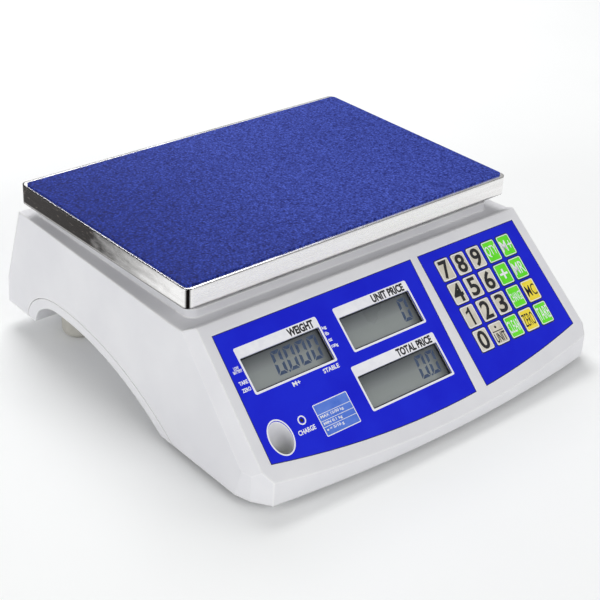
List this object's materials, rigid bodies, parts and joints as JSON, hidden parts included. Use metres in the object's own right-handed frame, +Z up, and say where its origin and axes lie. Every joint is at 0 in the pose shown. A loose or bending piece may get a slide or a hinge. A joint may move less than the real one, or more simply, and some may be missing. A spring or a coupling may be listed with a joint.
{
  "type": "price computing scale",
  "caption": "Bench weighing scale with a stainless platter, sloping blue panel with three displays and a keypad, raised sides for lifting, and levelling feet.",
  "frame": {"origin": "on the table under the middle of the scale's box", "axes": "+X to the right as the user faces the keypad, +Y to the back, +Z up"},
  "size_m": [0.3286, 0.3208, 0.121],
  "materials": {
    "housing_plastic": "fine satin moulded ABS, light grey-white",
    "printed_film": "semi-gloss blue printed polyester film",
    "textured_mat": "blue mottled grain",
    "stainless_sheet": "bright, lightly brushed",
    "clear_window": "clear",
    "lcd_glass": "grey-green",
    "circuit_board": "green solder mask",
    "dark_lens": "dark red lens",
    "clear_vial": "yellow-green fluid under clear plastic",
    "key_cream": "cream print, white border",
    "key_green": "bright green print",
    "key_yellow": "yellow print",
    "machined_aluminium": "milled, clear anodised",
    "cast_aluminium": "die-cast, matte",
    "zinc_steel": "zinc plated",
    "transformer_steel": "varnished laminations",
    "black_rubber": "matte",
    "grey_rubber": "matte light grey",
    "black_plastic": "satin",
    "battery_case": "black-grey battery case",
    "cable_sheath": "grey sheath"
  },
  "bodies": {
    "housing": {"upper_housing": "housing_plastic", "lower_housing": "housing_plastic", "housing_screws": "zinc_steel", "display_overlay": "printed_film", "display_windows": "clear_window", "lcd_weight": "lcd_glass", "lcd_unit_price": "lcd_glass", "lcd_total_price": "lcd_glass", "display_board": "circuit_board", "charge_led": "dark_lens", "level_vial": "clear_vial", "keypad_overlay": "printed_film", "keypad_board": "circuit_board", "rear_overlay": "printed_film", "rear_lcds": "lcd_glass", "load_cell": "machined_aluminium", "load_cell_mount": "machined_aluminium", "load_cell_bolts": "zinc_steel", "load_cell_cable": "cable_sheath", "platter_carrier": "cast_aluminium", "carrier_pads": "black_rubber", "overload_stops": "zinc_steel", "main_board": "circuit_board", "battery": "battery_case", "battery_strap": "zinc_steel", "transformer": "transformer_steel", "power_inlet": "black_plastic", "switch_body": "black_plastic"},
    "platter": {"platter_tray": "stainless_sheet", "platter_mat": "textured_mat"},
    "battery_lid": {"battery_door": "housing_plastic"},
    "rocker": {"power_rocker": "black_plastic"},
    "foot_front_left": {"foot_pad_front_left": "grey_rubber", "foot_stud_front_left": "zinc_steel"},
    "foot_front_right": {"foot_pad_front_right": "grey_rubber", "foot_stud_front_right": "zinc_steel"},
    "foot_rear_left": {"foot_pad_rear_left": "grey_rubber", "foot_stud_rear_left": "zinc_steel"},
    "foot_rear_right": {"foot_pad_rear_right": "grey_rubber", "foot_stud_rear_right": "zinc_steel"},
    "key_7": {"key_7": "key_cream"},
    "key_8": {"key_8": "key_cream"},
    "key_9": {"key_9": "key_cream"},
    "key_quantity": {"key_quantity": "key_green"},
    "key_memory_add": {"key_memory_add": "key_green"},
    "key_4": {"key_4": "key_cream"},
    "key_5": {"key_5": "key_cream"},
    "key_6": {"key_6": "key_cream"},
    "key_add": {"key_add": "key_green"},
    "key_memory_recall": {"key_memory_recall": "key_green"},
    "key_1": {"key_1": "key_cream"},
    "key_2": {"key_2": "key_cream"},
    "key_3": {"key_3": "key_cream"},
    "key_change": {"key_change": "key_green"},
    "key_memory_clear": {"key_memory_clear": "key_yellow"},
    "key_0": {"key_0": "key_cream"},
    "key_point_unit": {"key_point_unit": "key_cream"},
    "key_clear": {"key_clear": "key_green"},
    "key_zero": {"key_zero": "key_yellow"},
    "key_tare": {"key_tare": "key_green"}
  },
  "joints": [
    {"name": "platter_lift", "type": "slide", "parent": "housing", "child": "platter", "axis": [0, 0, 1], "range_m": [0, 0.03]},
    {"name": "battery_lid_slide", "type": "slide", "parent": "housing", "child": "battery_lid", "axis": [0, -1, 0], "range_m": [0, 0.05]},
    {"name": "rocker_turn", "type": "hinge", "parent": "housing", "child": "rocker", "pos_m": [0.131, 0.15451, 0.05029], "axis": [-1, 0, 0], "range_deg": [0, 20]},
    {"name": "foot_screw_front_left", "type": "slide", "parent": "housing", "child": "foot_front_left", "axis": [0, 0, -1], "range_m": [0, 0.006]},
    {"name": "foot_screw_front_right", "type": "slide", "parent": "housing", "child": "foot_front_right", "axis": [0, 0, -1], "range_m": [0, 0.006]},
    {"name": "foot_screw_rear_left", "type": "slide", "parent": "housing", "child": "foot_rear_left", "axis": [0, 0, -1], "range_m": [0, 0.006]},
    {"name": "foot_screw_rear_right", "type": "slide", "parent": "housing", "child": "foot_rear_right", "axis": [0, 0, -1], "range_m": [0, 0.006]},
    {"name": "key_7_press", "type": "slide", "parent": "housing", "child": "key_7", "axis": [0, 0.6669, -0.7451], "range_m": [0, 0.0004], "stiffness_N_per_m": 2500, "springref_m": -0.0002},
    {"name": "key_8_press", "type": "slide", "parent": "housing", "child": "key_8", "axis": [0, 0.6669, -0.7451], "range_m": [0, 0.0004], "stiffness_N_per_m": 2500, "springref_m": -0.0002},
    {"name": "key_9_press", "type": "slide", "parent": "housing", "child": "key_9", "axis": [0, 0.6669, -0.7451], "range_m": [0, 0.0004], "stiffness_N_per_m": 2500, "springref_m": -0.0002},
    {"name": "key_quantity_press", "type": "slide", "parent": "housing", "child": "key_quantity", "axis": [0, 0.6669, -0.7451], "range_m": [0, 0.0004], "stiffness_N_per_m": 2500, "springref_m": -0.0002},
    {"name": "key_memory_add_press", "type": "slide", "parent": "housing", "child": "key_memory_add", "axis": [0, 0.6669, -0.7451], "range_m": [0, 0.0004], "stiffness_N_per_m": 2500, "springref_m": -0.0002},
    {"name": "key_4_press", "type": "slide", "parent": "housing", "child": "key_4", "axis": [0, 0.6669, -0.7451], "range_m": [0, 0.0004], "stiffness_N_per_m": 2500, "springref_m": -0.0002},
    {"name": "key_5_press", "type": "slide", "parent": "housing", "child": "key_5", "axis": [0, 0.6669, -0.7451], "range_m": [0, 0.0004], "stiffness_N_per_m": 2500, "springref_m": -0.0002},
    {"name": "key_6_press", "type": "slide", "parent": "housing", "child": "key_6", "axis": [0, 0.6669, -0.7451], "range_m": [0, 0.0004], "stiffness_N_per_m": 2500, "springref_m": -0.0002},
    {"name": "key_add_press", "type": "slide", "parent": "housing", "child": "key_add", "axis": [0, 0.6669, -0.7451], "range_m": [0, 0.0004], "stiffness_N_per_m": 2500, "springref_m": -0.0002},
    {"name": "key_memory_recall_press", "type": "slide", "parent": "housing", "child": "key_memory_recall", "axis": [0, 0.6669, -0.7451], "range_m": [0, 0.0004], "stiffness_N_per_m": 2500, "springref_m": -0.0002},
    {"name": "key_1_press", "type": "slide", "parent": "housing", "child": "key_1", "axis": [0, 0.6669, -0.7451], "range_m": [0, 0.0004], "stiffness_N_per_m": 2500, "springref_m": -0.0002},
    {"name": "key_2_press", "type": "slide", "parent": "housing", "child": "key_2", "axis": [0, 0.6669, -0.7451], "range_m": [0, 0.0004], "stiffness_N_per_m": 2500, "springref_m": -0.0002},
    {"name": "key_3_press", "type": "slide", "parent": "housing", "child": "key_3", "axis": [0, 0.6669, -0.7451], "range_m": [0, 0.0004], "stiffness_N_per_m": 2500, "springref_m": -0.0002},
    {"name": "key_change_press", "type": "slide", "parent": "housing", "child": "key_change", "axis": [0, 0.6669, -0.7451], "range_m": [0, 0.0004], "stiffness_N_per_m": 2500, "springref_m": -0.0002},
    {"name": "key_memory_clear_press", "type": "slide", "parent": "housing", "child": "key_memory_clear", "axis": [0, 0.6669, -0.7451], "range_m": [0, 0.0004], "stiffness_N_per_m": 2500, "springref_m": -0.0002},
    {"name": "key_0_press", "type": "slide", "parent": "housing", "child": "key_0", "axis": [0, 0.6669, -0.7451], "range_m": [0, 0.0004], "stiffness_N_per_m": 2500, "springref_m": -0.0002},
    {"name": "key_point_unit_press", "type": "slide", "parent": "housing", "child": "key_point_unit", "axis": [0, 0.6669, -0.7451], "range_m": [0, 0.0004], "stiffness_N_per_m": 2500, "springref_m": -0.0002},
    {"name": "key_clear_press", "type": "slide", "parent": "housing", "child": "key_clear", "axis": [0, 0.6669, -0.7451], "range_m": [0, 0.0004], "stiffness_N_per_m": 2500, "springref_m": -0.0002},
    {"name": "key_zero_press", "type": "slide", "parent": "housing", "child": "key_zero", "axis": [0, 0.6669, -0.7451], "range_m": [0, 0.0004], "stiffness_N_per_m": 2500, "springref_m": -0.0002},
    {"name": "key_tare_press", "type": "slide", "parent": "housing", "child": "key_tare", "axis": [0, 0.6669, -0.7451], "range_m": [0, 0.0004], "stiffness_N_per_m": 2500, "springref_m": -0.0002}
  ]
}
